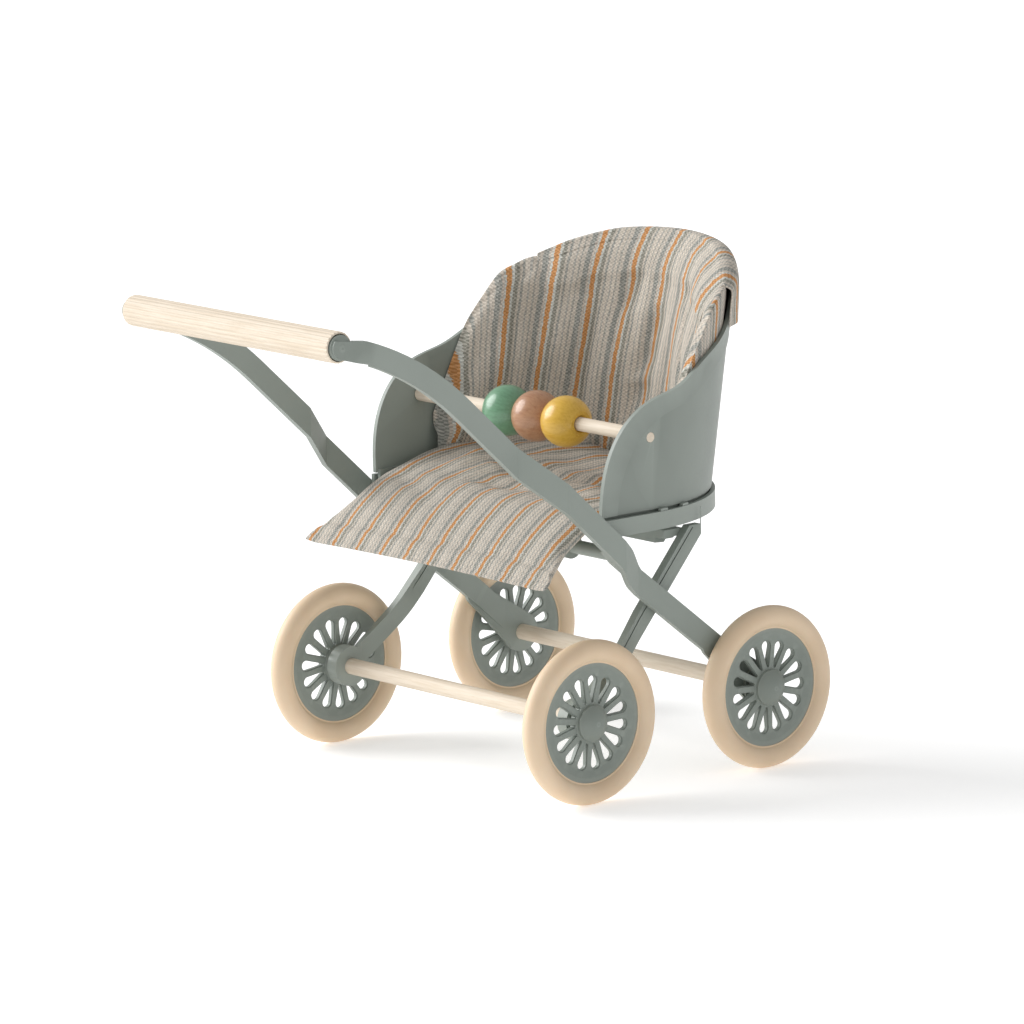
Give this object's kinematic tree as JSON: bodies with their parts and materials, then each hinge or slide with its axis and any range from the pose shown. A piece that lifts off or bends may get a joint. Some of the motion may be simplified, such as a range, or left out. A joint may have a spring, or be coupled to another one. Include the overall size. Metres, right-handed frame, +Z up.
{
  "type": "doll stroller",
  "caption": "Folding doll stroller: X frame on dowel axles, bucket seat with a striped cover, wooden push handle and a play rod with beads.",
  "frame": {"origin": "floor level, under the middle of the overall length and width", "axes": "+Z up, +X away from the person who pushes, +Y to the left"},
  "size_m": [0.147, 0.103, 0.1266],
  "materials": {
    "sage_paint": "satin grey-green paint",
    "tyre": "matt cream rubber",
    "beech": "plain sanded beech",
    "steel": "plain steel",
    "woven_cover": "coarse striped weave with orange stripes",
    "bead_green": "satin green lacquer",
    "bead_brown": "satin brown lacquer",
    "bead_yellow": "satin yellow lacquer"
  },
  "bodies": {
    "frame": {"push_arm_left": "sage_paint", "push_arm_right": "sage_paint", "handle_grip": "beech", "handle_core_rod": "steel", "front_cross_member": "sage_paint"},
    "legs": {"leg_left": "sage_paint", "leg_right": "sage_paint", "rear_cross_member": "sage_paint", "crossing_rivets": "steel"},
    "seat": {"seat_pan": "sage_paint", "seat_shell": "sage_paint", "shell_tabs": "sage_paint", "hinge_knuckles": "sage_paint", "rest_pads": "sage_paint", "play_rod": "beech", "seat_cushion": "woven_cover", "back_cushion": "woven_cover", "cover_cap": "woven_cover"},
    "front_wheelset": {"front_axle": "beech", "front_washers": "steel", "front_tyre_left": "tyre", "front_tyre_right": "tyre", "front_disc_left": "sage_paint", "front_disc_right": "sage_paint", "front_hub_cap_left": "sage_paint", "front_hub_cap_right": "sage_paint"},
    "rear_wheelset": {"rear_axle": "beech", "rear_washers": "steel", "rear_tyre_left": "tyre", "rear_tyre_right": "tyre", "rear_disc_left": "sage_paint", "rear_disc_right": "sage_paint", "rear_hub_cap_left": "sage_paint", "rear_hub_cap_right": "sage_paint"},
    "bead_green": {"bead_green": "bead_green"},
    "bead_brown": {"bead_brown": "bead_brown"},
    "bead_yellow": {"bead_yellow": "bead_yellow"}
  },
  "joints": [
    {"name": "leg_fold", "type": "hinge", "parent": "frame", "child": "legs", "pos_m": [0.02204, 0, 0.0453], "axis": [0, -1, 0], "range_deg": [0, 31.5]},
    {"name": "seat_fold", "type": "hinge", "parent": "frame", "child": "seat", "pos_m": [0.00954, 0, 0.058], "axis": [0, -1, 0], "range_deg": [0, 39.38]},
    {"name": "front_roll", "type": "hinge", "parent": "legs", "child": "front_wheelset", "pos_m": [-0.00392, 0, 0.02], "axis": [0, 1, 0], "continuous": true},
    {"name": "rear_roll", "type": "hinge", "parent": "frame", "child": "rear_wheelset", "pos_m": [0.053, 0, 0.02], "axis": [0, 1, 0], "continuous": true},
    {"name": "bead_green_slide", "type": "slide", "parent": "seat", "child": "bead_green", "axis": [0, 1, 0], "range_m": [0, 0.0254]},
    {"name": "bead_brown_spin", "type": "hinge", "parent": "seat", "child": "bead_brown", "pos_m": [0.02024, -0.00205, 0.0852], "axis": [0, 1, 0], "continuous": true},
    {"name": "bead_yellow_slide", "type": "slide", "parent": "seat", "child": "bead_yellow", "axis": [0, -1, 0], "range_m": [0, 0.0214]}
  ],
  "couplings": [
    {"joint": "seat_fold", "follows": "leg_fold", "ratio": 1.25}
  ]
}
